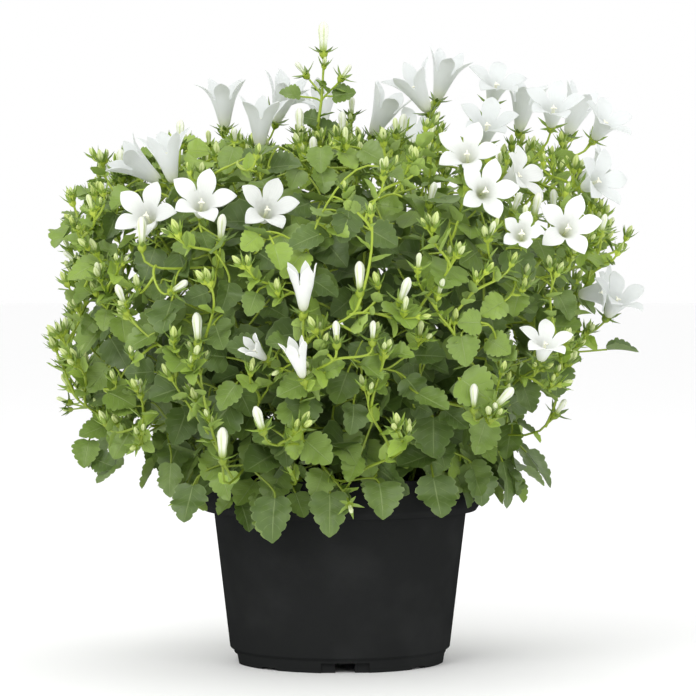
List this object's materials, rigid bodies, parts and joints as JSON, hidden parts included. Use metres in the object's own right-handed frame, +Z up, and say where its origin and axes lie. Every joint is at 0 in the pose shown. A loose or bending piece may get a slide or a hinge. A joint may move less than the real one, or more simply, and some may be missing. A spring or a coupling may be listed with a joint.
{
  "type": "potted white bellflower",
  "caption": "Compact bushy bellflower with white star-shaped flowers and small toothed leaves, growing in a round black plastic nursery pot; decorative house plant.",
  "frame": {"origin": "centre of the pot's axis at the plane of its foot ring", "axes": "+Z up along the pot's axis; -Y is the side that faces the viewer; +X is the viewer's right"},
  "size_m": [0.2543, 0.2479, 0.2724],
  "materials": {
    "pot_plastic": "satin black moulded polypropylene",
    "soil": "dark fibrous potting soil",
    "foliage": "grey-green toothed leaves with pale veins on bright yellow-green stems",
    "petal": "thin white petals with a soft translucent sheen"
  },
  "bodies": {
    "root": {"bloom_back_a": "petal", "bloom_back_b": "petal", "bloom_back_c": "petal", "bloom_back_d": "petal", "bloom_back_e": "petal", "bloom_back_f": "petal", "bloom_back_g": "petal", "bloom_front_a": "petal", "bloom_front_b": "petal", "bloom_front_c": "petal", "bloom_left_d": "petal", "bloom_left_e": "petal", "bloom_low_a": "petal", "bloom_low_b": "petal", "bloom_low_c": "petal", "bloom_low_d": "petal", "bloom_right_a": "petal", "bloom_right_b": "petal", "bloom_right_c": "petal", "bloom_right_d": "petal", "bloom_right_e": "petal", "bloom_right_f": "petal", "bloom_right_g": "petal", "bloom_right_h": "petal", "bloom_right_i": "petal", "bloom_right_j": "petal", "bloom_right_k": "petal", "bloom_right_l": "petal", "bloom_side_a": "petal", "bloom_side_b": "petal", "bloom_top_a": "petal", "bloom_top_b": "petal", "bloom_top_c": "petal", "bloom_top_d": "petal", "bloom_top_e": "petal", "bloom_top_f": "petal", "bloom_top_g": "petal", "bloom_top_h": "petal", "pot": "pot_plastic", "shoot_in_00": "foliage", "shoot_in_01": "foliage", "shoot_in_02": "foliage", "shoot_in_03": "foliage", "shoot_in_04": "foliage", "shoot_out_00": "foliage", "shoot_out_01": "foliage", "shoot_out_02": "foliage", "shoot_out_03": "foliage", "shoot_out_04": "foliage", "shoot_out_05": "foliage", "shoot_out_06": "foliage", "shoot_out_07": "foliage", "shoot_out_08": "foliage", "shoot_out_09": "foliage", "soil": "soil"}
  },
  "joints": []
}
